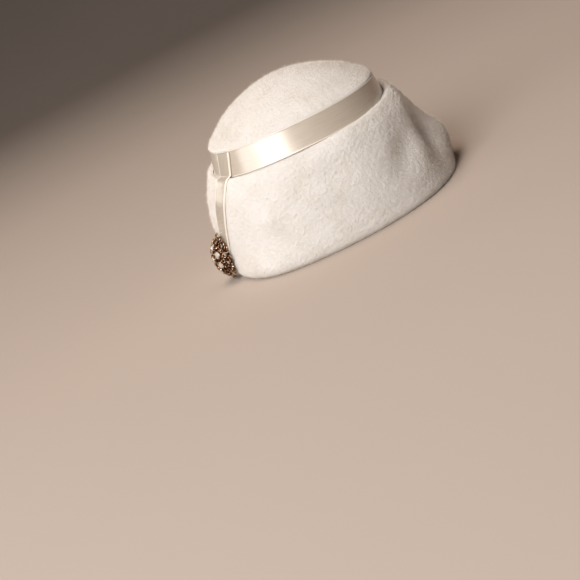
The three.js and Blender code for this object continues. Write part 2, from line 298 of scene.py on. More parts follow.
def felt_material(name, light, middle, shade):
    material, shader = new_material(name)
    place = node(material, "ShaderNodeTexCoord").outputs["Object"]
    lump = node(material, "ShaderNodeTexNoise",
                {"Scale": 1 / (FELT_LUMP * MM), "Detail": 3.0, "Roughness": 0.6}, Vector=place)
    grain = node(material, "ShaderNodeTexNoise",
                 {"Scale": 1 / (FELT_GRAIN * MM), "Detail": 4.0, "Roughness": 0.7}, Vector=place)
    # Fibre ends: a warped noise that reads as short hairs lying over each other.
    fibre = node(material, "ShaderNodeTexNoise",
                 {"Scale": 1 / (FELT_FIBRE * MM), "Detail": 2.0, "Distortion": 2.5}, Vector=place)
    patch = node(material, "ShaderNodeTexNoise",
                 {"Scale": 1 / (FELT_PATCH * MM), "Detail": 2.0}, Vector=place)
    # Lumps on broad patches: the colour is mottled as the mat is.
    blend = node(material, "ShaderNodeMath", {"operation": "MULTIPLY_ADD", 1: 0.45})
    wire(material, lump.outputs["Fac"], blend.inputs[0])
    wire(material, patch.outputs["Fac"], blend.inputs[2])
    tone = node(material, "ShaderNodeValToRGB", {
        "stops": ((0.40, shade), (0.66, middle), (0.95, light)),
    }, Fac=blend.outputs["Value"])
    wire(material, tone.outputs["Color"], shader.inputs["Base Color"])
    coarse = node(material, "ShaderNodeBump", {"Strength": 1.0, "Distance": 1.2 * MM},
                  Height=lump.outputs["Fac"])
    fine = node(material, "ShaderNodeBump", {"Strength": 1.0, "Distance": 0.9 * MM},
                Height=grain.outputs["Fac"], Normal=coarse.outputs["Normal"])
    ends = node(material, "ShaderNodeBump", {"Strength": 0.45, "Distance": 0.1 * MM},
                Height=fibre.outputs["Fac"], Normal=fine.outputs["Normal"])
    wire(material, ends.outputs["Normal"], shader.inputs["Normal"])
    # Wool is matt; the sheen is the pale bloom of the loose fibres at a glancing angle.
    set_inputs(shader, {
        "Roughness": 0.95, "IOR": 1.45, "Specular IOR Level": 0.15,
        "Sheen Weight": 0.35, "Sheen Roughness": 0.45, "Sheen Tint": hex_colour("#fff6e8"),
    })
    return material


wool_felt = felt_material("brushed_ivory_wool_felt", "#f0ece8", "#e9e4de", "#ddd6cd")
print("felt lumps", FELT_LUMP, "mm and grain", FELT_GRAIN, "mm")

# %% [markdown]
# ## Crown
# The crown is one piece of felt drawn over a block: a low dome that swells slightly over the ribbon, and a
# wall that runs on below the ribbon inside the brim. A lathe would give a perfect round, so instead the
# dome is a grid on its oval formula, with a fraction of a millimetre of hand-blocked unevenness.

# %% Crown
AROUND = 440
WAVES = 9


def unevenness(points, size, depth, seed):
    """Soft seeded ripples of a given size and depth, worked out from where each point is."""
    rng = np.random.default_rng(seed)
    total = np.zeros(points.shape[:-1])
    for _ in range(WAVES):
        direction = rng.normal(size=3)
        direction *= rng.uniform(0.6, 1.6) * 2 * np.pi / size / np.linalg.norm(direction)
        total += np.sin(points @ direction + rng.uniform(0, 2 * np.pi))
    return depth * total / math.sqrt(WAVES)


# Ripples that the hatter's hand leaves, and lumps of the mat large enough to be real shape; the finer lumps
# are bump.
RIPPLE_SPACING = 46
RIPPLE_DEPTH = 0.28
LUMP_SPACING = 6.5
LUMP_DEPTH = 0.1
# The nap stands on the felt, so the felt itself lies this much inside the outline that both make together.
# The room for it closes over the last share of the dome, towards the ribbon.
NAP_ROOM = 1.7
NAP_CLOSING = 0.15
# At the right and in front the felt tucks in behind the ribbon's edge; at the left it swells over it.
TUCK = 1.2
TUCK_SHARE = 0.1
TUCK_TOWARDS = -0.6

azimuth_row = np.linspace(0, 2 * np.pi, AROUND, endpoint=False)[None, :]
dome_share = np.concatenate([np.linspace(0.012, 0.9, 90), np.linspace(0.91, 1.0, 14)])[:, None]
dome_points = dome_face(azimuth_row, dome_share)
dome_normal = outward(dome_face, azimuth_row + 0 * dome_share, dome_share + 0 * azimuth_row, 0, 1)
dome_uneven = unevenness(dome_points, RIPPLE_SPACING, RIPPLE_DEPTH, 3)
dome_uneven += unevenness(dome_points, LUMP_SPACING, LUMP_DEPTH, 4)
dome_room = NAP_ROOM * np.clip((1 - dome_share) / NAP_CLOSING, 0, 1)
dome_points = dome_points + dome_normal * (dome_uneven - dome_room)[..., None]
inwards = polar(-1.0 + 0 * azimuth_row, azimuth_row, 0.0)
tuck = TUCK * np.clip((dome_share - 1 + TUCK_SHARE) / TUCK_SHARE, 0, 1) ** 2
tuck = tuck * (0.5 + 0.5 * np.cos(azimuth_row - TUCK_TOWARDS))
dome_points = dome_points + tuck[..., None] * inwards

# The swell rolls in behind the ribbon's top edge, then the wall follows the ribbon down.
wall_points = band_face(azimuth_row, np.linspace(0, CROWN_FOOT, 16)[:, None])
wall_out = wall_points + UNDER_RIBBON * inwards
wall_in = wall_points + (UNDER_RIBBON + FELT) * inwards
# The inner face is plain, so every third row of the outer one is enough for it.
dome_in = (dome_points - FELT * dome_normal)[4:-4:3]
crown_grid = np.concatenate([dome_points, wall_out, wall_in[::-1], dome_in[::-1]])
apex_out = dome_points[0].mean(axis=0, keepdims=True)
apex_in = apex_out - [0, 0, FELT]
crown_points = np.concatenate([crown_grid.reshape(-1, 3), apex_out, apex_in])
crown_faces = quads(len(crown_grid), AROUND, False, True)
first_in = (len(crown_grid) - 1) * AROUND
for j in range(AROUND):
    k = (j + 1) % AROUND
    crown_faces.append([len(crown_points) - 2, j, k])
    crown_faces.append([len(crown_points) - 1, first_in + k, first_in + j])
crown = mesh_piece("felt_crown", to_frame(crown_points), crown_faces, wool_felt)
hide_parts("crown")

# %% [markdown]
# ## Brim
# The brim is a second piece of felt: it rises a little out of the ribbon, rolls over a soft shoulder and
# falls in a flared wall to a hem that rolls under. One deep valley, a ridge and a softer dimple run down
# its right side. Those are in the formula; the grid is only closed with an inner face one felt away.

# %% Brim
BRIM_RIPPLE_SPACING = 38
BRIM_RIPPLE_DEPTH = 0.32
BRIM_LUMP_DEPTH = 0.15
HEM_FADE = 12
NECK_IN = 0.9
NECK_UP = 1.6
SLOPE = STATION["slope"]
BULGE = STATION["bulge"]
HEM = STATION["hem"]
brim_station = np.concatenate([
    np.linspace(0, SLOPE, 46)[:-1], np.linspace(SLOPE, BULGE, 72)[:-1], np.linspace(BULGE, HEM, 46),
])[:, None]
brim_points = brim_face(azimuth_row, brim_station)
brim_normal = outward(brim_face, azimuth_row + 0 * brim_station, brim_station + 0 * azimuth_row, 0, HEM)
brim_uneven = unevenness(brim_points, BRIM_RIPPLE_SPACING, BRIM_RIPPLE_DEPTH, 5)
brim_uneven += unevenness(brim_points, LUMP_SPACING, BRIM_LUMP_DEPTH, 6)
# Room for the nap again, but none on the left, where the ribbon and the brooch press the nap flat.
brim_room = NAP_ROOM * np.clip(np.cos(azimuth_row) + 0.5, 0, 1) * np.clip((brim_station - 1) / 1.5, 0, 1)
# Near the table the felt keeps to its formula, so that the hat stands flat.
off_table = np.clip(brim_points[..., 2] / HEM_FADE, 0, 1)
brim_points = brim_points + brim_normal * (off_table * (brim_uneven - brim_room))[..., None]
# At its neck the felt is pressed up and in against the ribbon, which closes the groove between them.
pressed = np.clip(1 - brim_station, 0, 1)
brim_points = brim_points + pressed[..., None] * polar(-NECK_IN + 0 * azimuth_row, azimuth_row, NECK_UP)
brim_in = (brim_points - FELT * brim_normal)[::4]
brim_grid = np.concatenate([brim_points, brim_in[::-1]])
brim = mesh_piece("felt_brim", to_frame(brim_grid.reshape(-1, 3)),
                  quads(len(brim_grid), AROUND, True, True), wool_felt)
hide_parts("brim")

# %% [markdown]
# ## Nap
# What tells felt from plaster at a glance is its outline: loose fibres stand off the surface and catch the
# light. Blender's hair would do, but it is not a mesh and is lost in the exported model. Here each fibre
# is a thin bent blade of three triangles, and all the fibres of a face are one joined mesh.

# %% Nap
# Width in mm, limits of the length in mm, and limits of the lean, where 0 stands straight out.
NAP = (0.1, (0.8, 2.6), (0.05, 0.6))
STRAY = (0.14, (2.0, 5.0), (0.0, 0.55))
ROOT_SCATTER = 0.4
ROOT_DEPTH = 0.3
BRUSHED_DOWN = 0.7
CURL = 0.3
ABOVE_TABLE = 0.1
FIBRE_TONE = 4.0


def nap_mesh(name, points, normals, count, kind, seed):
    """Seeded fibres of one kind on a grid of points."""
    width, lengths, leans = kind
    rng = np.random.default_rng(seed)
    rows, columns = points.shape[:2]
    area = np.linalg.norm(np.cross(np.gradient(points, axis=0), np.gradient(points, axis=1)), axis=-1)
    picked = rng.choice(rows * columns, size=count, p=area.ravel() / area.sum())
    normal = normals.reshape(-1, 3)[picked]
    root = points.reshape(-1, 3)[picked] + rng.normal(scale=ROOT_SCATTER, size=(count, 3))
    # Brushing lays the fibres downwards, each a little its own way.
    side = rng.normal(size=(count, 3)) - [0, 0, BRUSHED_DOWN]
    side = unit(side - normal * (side * normal).sum(1, keepdims=True))
    tilt = rng.uniform(*leans, size=(count, 1))
    size = rng.uniform(*lengths, size=(count, 1))
    curl = rng.normal(scale=CURL, size=(count, 3))
    middle = root + size * 0.5 * (side * tilt + normal * (1 - tilt))
    tip = middle + size * 0.5 * (side * (tilt + 0.3) + normal * (0.7 - tilt) + curl)
    flat = np.cross(tip - root, side + curl)
    flat *= width / 2 / np.maximum(np.linalg.norm(flat, axis=1, keepdims=True), 1e-6)
    root = root - normal * ROOT_DEPTH
    corners = np.stack([root - flat, root + flat, middle + flat * 0.8, middle - flat * 0.8, tip], 1)
    # At the hem a fibre lies on the table rather than goes through it.
    corners[..., 2] = np.maximum(corners[..., 2], ABOVE_TABLE)
    start = np.arange(count)[:, None] * 5
    faces = (start + [[0, 1, 2, 3]]).tolist() + (start + [[3, 2, 4]]).tolist()
    return mesh_piece(name, to_frame(corners.reshape(-1, 3)), faces, wool_fibre)


def fibre_material():
    """A single wool fibre is smooth and pale, so it shows as a light thread on the mat."""
    material, shader = new_material("loose_ivory_wool_fibre")
    place = node(material, "ShaderNodeTexCoord").outputs["Object"]
    tone = node(material, "ShaderNodeTexNoise", {"Scale": 1 / (FIBRE_TONE * MM)}, Vector=place)
    colours = node(material, "ShaderNodeValToRGB", {"stops": ((0.3, "#e9e3da"), (0.7, "#f2ede6"))},
                   Fac=tone.outputs["Fac"])
    wire(material, colours.outputs["Color"], shader.inputs["Base Color"])
    set_inputs(shader, {"Roughness": 0.7, "Specular IOR Level": 0.2})
    return material


wool_fibre = fibre_material()
crown_skin = (dome_points[2:-3], dome_normal[2:-3])
brim_skin = (brim_points[3:-18], brim_normal[3:-18])
naps = [
    nap_mesh("crown_nap", *crown_skin, 34000, NAP, 11),
    nap_mesh("brim_nap", *brim_skin, 58000, NAP, 12),
    nap_mesh("crown_stray_fibres", *crown_skin, 4500, STRAY, 13),
    nap_mesh("brim_stray_fibres", *brim_skin, 7500, STRAY, 14),
]

# %% [markdown]
# ## Satin ribbon
# Satin is woven with long warp floats along the ribbon, so its face is smooth, and a highlight spreads
# across the ribbon and stays short along it. That is anisotropy, with the tangent along the ribbon. A little
# metallic shine and a clear coat stand in for the lustre of the yarn. The woven selvage at each edge has no
# floats, so it is duller and a little thicker; its pale colour is partly the selvage and partly a painted
# highlight where the raised edge catches the light.

# %% Satin material
SATIN_FLOAT = 0.3
FLOAT_COARSER = 3
STREAK_LENGTH = 20
FADE_IN = 0.2
FADE_OUT = 0.1


def satin_material(name, width, selvages, shine, face, deep, edge):
    """Satin from its width and its selvages' widths in mm, its shine, and three colours."""
    material, shader = new_material(name)
    cloth = node(material, "ShaderNodeUVMap", {"uv_map": "cloth_mm"}).outputs["UV"]
    split = node(material, "ShaderNodeSeparateXYZ", None, Vector=cloth)
    # 1 on the selvage at either edge and 0 between them: pale there, as selvage and as painted highlight.
    low = node(material, "ShaderNodeMapRange", {
        "From Min": selvages[0] + FADE_IN, "From Max": selvages[0] - FADE_OUT,
    }, Value=split.outputs["Y"])
    high = node(material, "ShaderNodeMapRange", {
        "From Min": width - selvages[1] - FADE_IN, "From Max": width - selvages[1] + FADE_OUT,
    }, Value=split.outputs["Y"])
    selvage_and_painted_highlight = node(material, "ShaderNodeMath", {"operation": "MAXIMUM"})
    wire(material, low.outputs["Result"], selvage_and_painted_highlight.inputs[0])
    wire(material, high.outputs["Result"], selvage_and_painted_highlight.inputs[1])
    # Floats: long streaks along the ribbon, a float's width apart, drawn three times as coarse to show.
    stretch = node(material, "ShaderNodeMapping", {
        "Scale": (1 / STREAK_LENGTH, 1 / (FLOAT_COARSER * SATIN_FLOAT), 1.0),
    }, Vector=cloth)
    streak = node(material, "ShaderNodeTexNoise", {"Scale": 1.0, "Detail": 3.0},
                  Vector=stretch.outputs["Vector"])
    tone = node(material, "ShaderNodeValToRGB", {"stops": ((0.3, deep), (0.7, face))},
                Fac=streak.outputs["Fac"])
    # The pale edge colour is mixed in here: the selvage's own tone and a painted highlight on the raised
    # edge.
    colour = node(material, "ShaderNodeMix", {"data_type": "RGBA"})
    wire(material, selvage_and_painted_highlight.outputs["Value"], colour.inputs["Factor"])
    wire(material, tone.outputs["Color"], colour.inputs[6])
    colour.inputs[7].default_value = hex_colour(edge)
    wire(material, colour.outputs[2], shader.inputs["Base Color"])
    gloss = node(material, "ShaderNodeMapRange", {"To Min": 0.4, "To Max": 0.7},
                 Value=selvage_and_painted_highlight.outputs["Value"])
    wire(material, gloss.outputs["Result"], shader.inputs["Roughness"])
    relief = node(material, "ShaderNodeBump", {"Strength": 0.25, "Distance": 0.05 * MM},
                  Height=streak.outputs["Fac"])
    wire(material, relief.outputs["Normal"], shader.inputs["Normal"])
    tangent = node(material, "ShaderNodeTangent", {"direction_type": "UV_MAP", "uv_map": "cloth_mm"})
    wire(material, tangent.outputs["Tangent"], shader.inputs["Tangent"])
    set_inputs(shader, {
        "Metallic": shine, "Anisotropic": 0.7, "Anisotropic Rotation": 0.25,
        "IOR": 1.54, "Specular IOR Level": 1.0,
        "Coat Weight": 0.9, "Coat Roughness": 0.22, "Coat IOR": 1.6,
    })
    return material


def ribbon_mesh(name, sides, rows, material, wrap):
    """Closes the points of a ribbon's two sides into a thin body, with its lengths as the UV map."""
    outer, inner, across = sides
    grid = np.concatenate([outer, inner[:, ::-1]], axis=1)
    count = grid.shape[1]
    points = grid.reshape(-1, 3)
    faces = quads(len(grid), count, wrap, True)
    if not wrap:
        faces.append(list(range(count))[::-1])
        faces.append([(len(grid) - 1) * count + k for k in range(count)])
    piece = mesh_piece(name, to_frame(points), faces, material)
    along = np.repeat(rows[:, None], count, axis=1)
    widths = np.concatenate([across, across[::-1]])
    lay_uv(piece, along, np.broadcast_to(widths, along.shape))
    return piece


print("satin floats", SATIN_FLOAT, "mm wide, drawn", FLOAT_COARSER, "times as coarse")

# %% [markdown]
# ## Band
# The band is drawn tight round the foot of the crown, so it takes the crown's oval and its slope. A strip
# could be bent round by a modifier, but the same formula as the felt's keeps it close to the felt. Its
# cross-section is flat, with a thicker bead of selvage at each edge and a faint wave along it.

# %% Band
FRONT = np.array(-np.pi / 2)
BAND_WIDTH = float(np.linalg.norm(band_face(FRONT, 1.0) - band_face(FRONT, 0.0)))
BAND_SELVAGES = (0.9, 0.9)
BAND_RISE = 0.05
BAND_BACK = 0.75
BAND_AROUND = 480
BAND_WAVE = 60
BAND_WAVE_DEPTH = 0.1
FACE_THICK = 0.45
BEAD_THICK = 0.4
EDGE_ROUNDING = 0.2
# The band's pale edge colour is partly its selvage and partly a painted highlight.
champagne_satin = satin_material("champagne_satin_ribbon", BAND_WIDTH, BAND_SELVAGES, shine=0.22,
                                 face="#dbcebe", deep="#cec1b0", edge="#f0eae0")


def edge_bead(across, width):
    """How thick the ribbon is across its width, from its thin face to the bead of its selvage."""
    near = np.minimum(across, width - across)
    swell = BEAD_THICK * np.exp(-((near - 0.45) / 0.4) ** 2)
    return FACE_THICK + swell - EDGE_ROUNDING * np.exp(-(near / 0.18) ** 2)


def band_rows():
    """The band's two sides, how far along it each row is, and its whole length at the middle of its width."""
    across = np.concatenate([np.linspace(0, 1.4, 9), np.linspace(2.2, BAND_WIDTH - 2.2, 9),
                             np.linspace(BAND_WIDTH - 1.4, BAND_WIDTH, 9)])
    azimuth = np.linspace(0, 2 * np.pi, BAND_AROUND, endpoint=False)[:, None]
    # It stands a little above the formula's top edge and has its back inside the solid's thickness.
    station = (across / BAND_WIDTH)[None, :] * (1 + BAND_RISE) - BAND_RISE
    base = band_face(azimuth + 0 * station, station + 0 * azimuth)
    out = outward(band_face, azimuth + 0 * station, station + 0 * azimuth, -1, 1)
    wave = unevenness(base, BAND_WAVE, BAND_WAVE_DEPTH, 21)[..., None]
    thick = edge_bead(across, BAND_WIDTH)[None, :, None]
    inner = base - out * (RIBBON * BAND_BACK - wave)
    outer = inner + out * thick
    middle = base[:, len(across) // 2]
    steps = np.linalg.norm(np.roll(middle, -1, axis=0) - middle, axis=-1)
    return (outer, inner, across), np.cumsum(steps) - steps, steps.sum()


band_sides, band_along, band_length = band_rows()
band = ribbon_mesh("satin_band", band_sides, band_along, champagne_satin, True)
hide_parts("ribbon_band")

# %% [markdown]
# ## Strip
# A second ribbon is tacked over the band's join: it runs down the band, dips over the crest of the
# brim and slants down the wall to the brooch. Its edges are turned in, so each side is a soft round rib.

# %% Strip
STRIP_WIDTH = 21.0
STRIP_THICK = 0.4
STRIP_RIBS = (1.2, 2.8)
RIB_RISES = (0.15, 0.8)
STRIP_ON_BAND = (0.0, 0.92)
STRIP_ON_BRIM = (1.2, 7.2)
# The strip's middle line, from the brooch up to the band's top edge.
STRIP_HEIGHTS = (14.0, 50.0, 93.0, 112.0)
STRIP_AZIMUTHS = (-165.5, -156.5, -148.5, -145.3)
# Painted shade: the strip's face and deep tones are a darker copy of the band's satin, and its pale edge is
# partly selvage and partly painted highlight.
strip_satin = satin_material("strip_satin_with_painted_shade", STRIP_WIDTH, STRIP_RIBS, shine=0.1,
                             face="#c9bdad", deep="#bbaf9e", edge="#f1eadd")


def strip_rows():
    """The strip's two sides, and how far along it each row is."""
    across = np.concatenate([np.linspace(0, 3.2, 12), np.linspace(4.2, STRIP_WIDTH - 4.2, 8),
                             np.linspace(STRIP_WIDTH - 3.2, STRIP_WIDTH, 12)])
    rows = [(band_face, s, 0.0, 1.0) for s in np.linspace(*STRIP_ON_BAND, 40)]
    rows += [(brim_face, s, 0.0, float(HEM)) for s in np.linspace(*STRIP_ON_BRIM, 120)]
    outer, inner = [], []
    for face, station, low, high in rows:
        height = face(np.array(np.radians(STRIP_AZIMUTHS[2])), np.array(station))[2]
        middle = np.radians(np.interp(height, STRIP_HEIGHTS, STRIP_AZIMUTHS))
        radius = np.linalg.norm(face(np.array(middle), np.array(station))[:2])
        azimuth = middle + (across - STRIP_WIDTH / 2) / radius
        stations = np.full_like(azimuth, station)
        base = face(azimuth, stations)
        out = outward(face, azimuth, stations, low, high)
        thick = np.full_like(across, STRIP_THICK)
        for near, rib, rise in zip((across, STRIP_WIDTH - across), STRIP_RIBS, RIB_RISES):
            thick += rise * np.sqrt(np.clip(1 - (near / rib * 2 - 1) ** 2, 0, 1))
        inner.append(base + out * GAP)
        outer.append(base + out * (GAP + thick[:, None]))
    outer, inner = np.array(outer), np.array(inner)
    centre = outer[:, len(across) // 2]
    length = np.cumsum(np.r_[0, np.linalg.norm(np.diff(centre, axis=0), axis=-1)])
    return (outer, inner, across), length


strip_sides, strip_length = strip_rows()
strip = ribbon_mesh("satin_strip", strip_sides, strip_length, strip_satin, False)
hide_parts("ribbon_strip")

# %% [markdown]
# ## Brooch
# The brooch is a domed gilt filigree: a pierced shell, wire rings soldered over it, grains of metal in the
# gaps, loops round its rim and a beaded collet for each stone. It could be carved by displacement, but wire
# reads as wire only when light passes behind it, so each ring, grain and collet is a small real mesh, and
# all of them are joined into one.

# %% Brooch frame
BROOCH_AZIMUTH = -164.0
BROOCH_STATION = 6.6
BROOCH_TILT = 17.0
SEAT = 1.9
WALL_RADIUS = 115.0
HALF_WIDTH = 15.5
HALF_LENGTH = 18.0
DOME_HEIGHT = 11.5


def brooch_axes():
    """Where the brooch sits on the brim, and its across, up and out directions."""
    azimuth, station = np.array(np.radians(BROOCH_AZIMUTH)), np.array(BROOCH_STATION)
    out = outward(brim_face, azimuth, station, 0, HEM)
    across = unit(np.cross([0, 0, 1], out))
    up = np.cross(out, across)
    c, d = np.cos(np.radians(BROOCH_TILT)), np.sin(np.radians(BROOCH_TILT))
    return brim_face(azimuth, station), np.array([c * across + d * up, c * up - d * across, out])


brooch_place, brooch_turn = brooch_axes()


def brooch_to_frame(points):
    return to_frame(brooch_place + np.asarray(points) @ brooch_turn)


def on_dome(angle, rise, lift=0.0):
    """A point of the brooch's dome, lifted off its face: angle round it and rise from its rim in degrees."""
    angle, rise = np.broadcast_arrays(np.radians(angle), np.radians(rise))
    x = (HALF_WIDTH + lift) * np.cos(angle) * np.cos(rise)
    y = (HALF_LENGTH + lift) * np.sin(angle) * np.cos(rise)
    return np.stack([x, y, SEAT - x ** 2 / (2 * WALL_RADIUS) + (DOME_HEIGHT + lift) * np.sin(rise)], -1)


def dome_turn(angle, rise, tip=(0.0, 0.0)):
    """Rows of axes whose third stands out of the dome, tipped a little if asked."""
    a, r = np.radians(angle), np.radians(rise)
    # The tiny amount keeps the top stone's direction off the exact axis.
    out = unit(np.array([np.cos(a) * np.cos(r) / HALF_WIDTH, np.sin(a) * np.cos(r) / HALF_LENGTH,
                         np.sin(r) / DOME_HEIGHT]) + 1e-9)
    turn = Vector((0, 0, 1)).rotation_difference(Vector(out)).to_matrix()
    turn = turn @ Matrix.Rotation(tip[0], 3, "X") @ Matrix.Rotation(tip[1], 3, "Y")
    return np.array(turn).T


print("the brooch sits at", np.round(brooch_place, 1), "mm from the head's middle")

# %% Parts of the filigree
BRIGHT = 0
RECESS = 1
parts = []


def add_part(points, faces, finish):
    """Keeps a small mesh for joining, with its finish: bright worn gilding or the dark recess."""
    parts.append((np.asarray(points).reshape(-1, 3), faces, finish))


def ring(radius, gauge, around, sides, twist=0):
    """A wire ring; twist counts the lobes of a twisted wire along it."""
    u = np.linspace(0, 2 * np.pi, around, endpoint=False)[:, None]
    v = np.linspace(0, 2 * np.pi, sides, endpoint=False)[None, :]
    thick = gauge * (1 - (0.18 * (1 + np.cos(twist * u + v)) if twist else 0))
    points = np.stack(np.broadcast_arrays((radius + thick * np.cos(v)) * np.cos(u),
                                          (radius + thick * np.cos(v)) * np.sin(u), thick * np.sin(v)), -1)
    return points.reshape(-1, 3), quads(around, sides, True, True)


def turned(profile, sides):
    """A turned body from pairs of radius and height."""
    u = np.linspace(0, 2 * np.pi, sides, endpoint=False)
    points = [[r * np.cos(a), r * np.sin(a), z] for r, z in profile for a in u]
    return np.array(points), quads(len(profile), sides, False, True)


def bead(radius):
    latitude = np.radians([-85, -40, 0, 40, 85])
    return turned([(radius * np.cos(a), radius * np.sin(a)) for a in latitude], 8)


# The pierced shell: a fine dome whose quads are left out where it is pierced.
PIERCINGS = 12
PIERCED_STEP = 360 / PIERCINGS
PIERCED_RISE = 21.0
PIERCED_RADIUS = 2.0
SHELL_ROWS = 40
SHELL_SIDES = 144
SHELL_WALL = 1.2
pierced = [on_dome(k * PIERCED_STEP, PIERCED_RISE) for k in range(PIERCINGS)]
shell_angles = np.linspace(0, 360, SHELL_SIDES, endpoint=False)[None, :]
shell_rises = np.linspace(0, 89.5, SHELL_ROWS)[:, None]
shell = on_dome(shell_angles, shell_rises)
middles = 0.25 * (shell[:-1] + shell[1:] + np.roll(shell[:-1] + shell[1:], -1, axis=1))
kept = np.min([np.linalg.norm(middles - p, axis=-1) for p in pierced], axis=0) > PIERCED_RADIUS
all_quads = quads(SHELL_ROWS, SHELL_SIDES, False, True)
shell_quads = [q[::-1] for q, keep in zip(all_quads, kept.ravel()) if keep]
# The shell takes the dark recess material: patina and painted shade behind the wires.
add_part(shell, shell_quads, RECESS)
add_part(on_dome(shell_angles, shell_rises, -SHELL_WALL), [q[::-1] for q in shell_quads], RECESS)

# The stones: one on top and seven round it, each in a turned collet with a beaded lip.
TOP_STONE = 3.6
RING_STONE = 2.9
RING_STONES = 7
RING_RISE = 50.0
LIP_BEADS = 12
stone_places = [(90.0, 90.0, TOP_STONE)]
for k in range(RING_STONES):
    stone_places.append(((k + 0.25) * 360 / RING_STONES, RING_RISE, RING_STONE))
stone_middles = np.array([on_dome(angle, rise) for angle, rise, _ in stone_places])
for angle, rise, radius in stone_places:
    turn, place = dome_turn(angle, rise), on_dome(angle, rise)
    cup, lip = radius + 1.2, radius + 0.45
    cup_points, cup_faces = turned([(cup * 0.8, -2.1), (cup, 1.0), (cup - 0.3, 1.4), (radius + 0.2, 1.2),
                                    (radius + 0.15, 0.3)], 32)
    add_part(cup_points @ turn + place, cup_faces, BRIGHT)
    for k in range(LIP_BEADS):
        a = k * 2 * np.pi / LIP_BEADS
        # Every third bead is larger, as a claw is.
        points, faces = bead(0.62 if k % 3 == 0 else 0.48)
        on_lip = points + [lip * np.cos(a), lip * np.sin(a), 1.35]
        add_part(on_lip @ turn + place, faces, BRIGHT)

# The rim's loops of twisted wire, and a wire round each piercing.
LOOP_TIP = -20
LOOP_SEAT = [0, 1.95, 1.3]
for k in range(PIERCINGS):
    place = on_dome((k + 0.5) * PIERCED_STEP, 0.0)
    facing = math.atan2(place[1], place[0]) - np.pi / 2
    points, faces = ring(radius=2.7, gauge=0.75, around=40, sides=8, twist=14)
    tipped = points @ np.array(Matrix.Rotation(math.radians(LOOP_TIP), 3, "X")).T + LOOP_SEAT
    add_part(tipped @ np.array(Matrix.Rotation(facing, 3, "Z")).T + place, faces, BRIGHT)
    points, faces = ring(PIERCED_RADIUS + 0.2, gauge=0.42, around=28, sides=6, twist=9)
    add_part(points @ dome_turn(k * PIERCED_STEP, PIERCED_RISE) + pierced[k], faces, BRIGHT)

# Small rings and grains fill what is left, wherever they keep clear of the stones and of each other.
TRIES = 1600
GRAIN = 0.85
RING_SIZES = [1.9, 1.4, GRAIN]
RING_SHARES = [0.35, 0.3, 0.35]
NEAREST = 0.85
FILL_LIFT = 0.35
FILL_TIP = 0.4
rng = np.random.default_rng(31)
room = np.array([radius + 1.0 for _, _, radius in stone_places])
taken = []
for _ in range(TRIES):
    angle, rise = rng.uniform(0, 360), math.degrees(math.asin(rng.uniform(0.02, 0.98)))
    size = rng.choice(RING_SIZES, p=RING_SHARES)
    place = on_dome(angle, rise, FILL_LIFT)
    if np.any(np.linalg.norm(stone_middles - place, axis=1) < room + size):
        continue
    if any(np.linalg.norm(place - other) < NEAREST * (size + other_size) for other, other_size in taken):
        continue
    taken.append((place, size))
    turn = dome_turn(angle, rise, rng.normal(scale=FILL_TIP, size=2))
    points, faces = bead(GRAIN) if size == GRAIN else ring(size, gauge=0.48, around=20, sides=6)
    add_part(points @ turn + place + turn[2] * rng.uniform(0.0, 1.1), faces, BRIGHT)
print(len(taken), "small rings and grains,", len(parts), "parts in all")

# %% [markdown]
# ## Gilding
# Antique gilding is worn bright where fingers rub it and is brown where they do not reach. Two materials
# show that: gold-coloured brass with a patchy brown lacquer on the wires, and a dull dark brown one in the
# recess behind them, which is patina and also painted shade in the gaps between the wires.

# %% Brooch
GILT_WEAR = 1.6


def gilt_material(name, bright, dull, smooth, rough):
    """Brass, bright and smooth where it is rubbed and brown and rough in patches where it is not."""
    material, shader = new_material(name)
    place = node(material, "ShaderNodeTexCoord").outputs["Object"]
    wear = node(material, "ShaderNodeTexNoise", {"Scale": 1 / (GILT_WEAR * MM), "Detail": 4.0}, Vector=place)
    tone = node(material, "ShaderNodeValToRGB", {"stops": ((0.46, dull), (0.64, bright))},
                Fac=wear.outputs["Fac"])
    wire(material, tone.outputs["Color"], shader.inputs["Base Color"])
    polish = node(material, "ShaderNodeMapRange", {"To Min": rough, "To Max": smooth},
                  Value=wear.outputs["Fac"])
    wire(material, polish.outputs["Result"], shader.inputs["Roughness"])
    pits = node(material, "ShaderNodeBump", {"Strength": 0.4, "Distance": 0.08 * MM},
                Height=wear.outputs["Fac"])
    wire(material, pits.outputs["Normal"], shader.inputs["Normal"])
    set_inputs(shader, {"Metallic": 1.0})
    return material


antique_gold = gilt_material("worn_antique_gilding", "#f4dcbc", "#5e3019", smooth=0.14, rough=0.3)
# Patina and painted shade: the recess behind the wires is drawn dark brown.
recess_patina_and_shade = gilt_material("dark_patina_and_painted_shade_in_the_recess", "#4a2a18", "#1c0e08", smooth=0.45, rough=0.65)


def join_parts(name):
    points, faces, finishes, start = [], [], [], 0
    for part_points, part_faces, finish in parts:
        points.append(part_points)
        faces += [[start + k for k in f] for f in part_faces]
        finishes += [finish] * len(part_faces)
        start += len(part_points)
    piece = mesh_piece(name, brooch_to_frame(np.concatenate(points)), faces, antique_gold)
    piece.data.materials.append(recess_patina_and_shade)
    piece.data.polygons.foreach_set("material_index", finishes)
    return piece


brooch = join_parts("brooch_filigree")
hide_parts("brooch_setting")

# %% [markdown]
# ## Stones
# The stones are round brilliants of clear paste with silver foil behind: the foil throws back the light that
# the glass lets in, and so a stone this small still sparkles. A brilliant is convex, so its corners are
# enough, and their convex hull finds the facets.

# %% Stones
GLASS_SCUFF = 0.8
FOIL_CREASE = 0.6
# A facet that faces this far away from the stone's front has foil behind it.
FOILED = -0.15


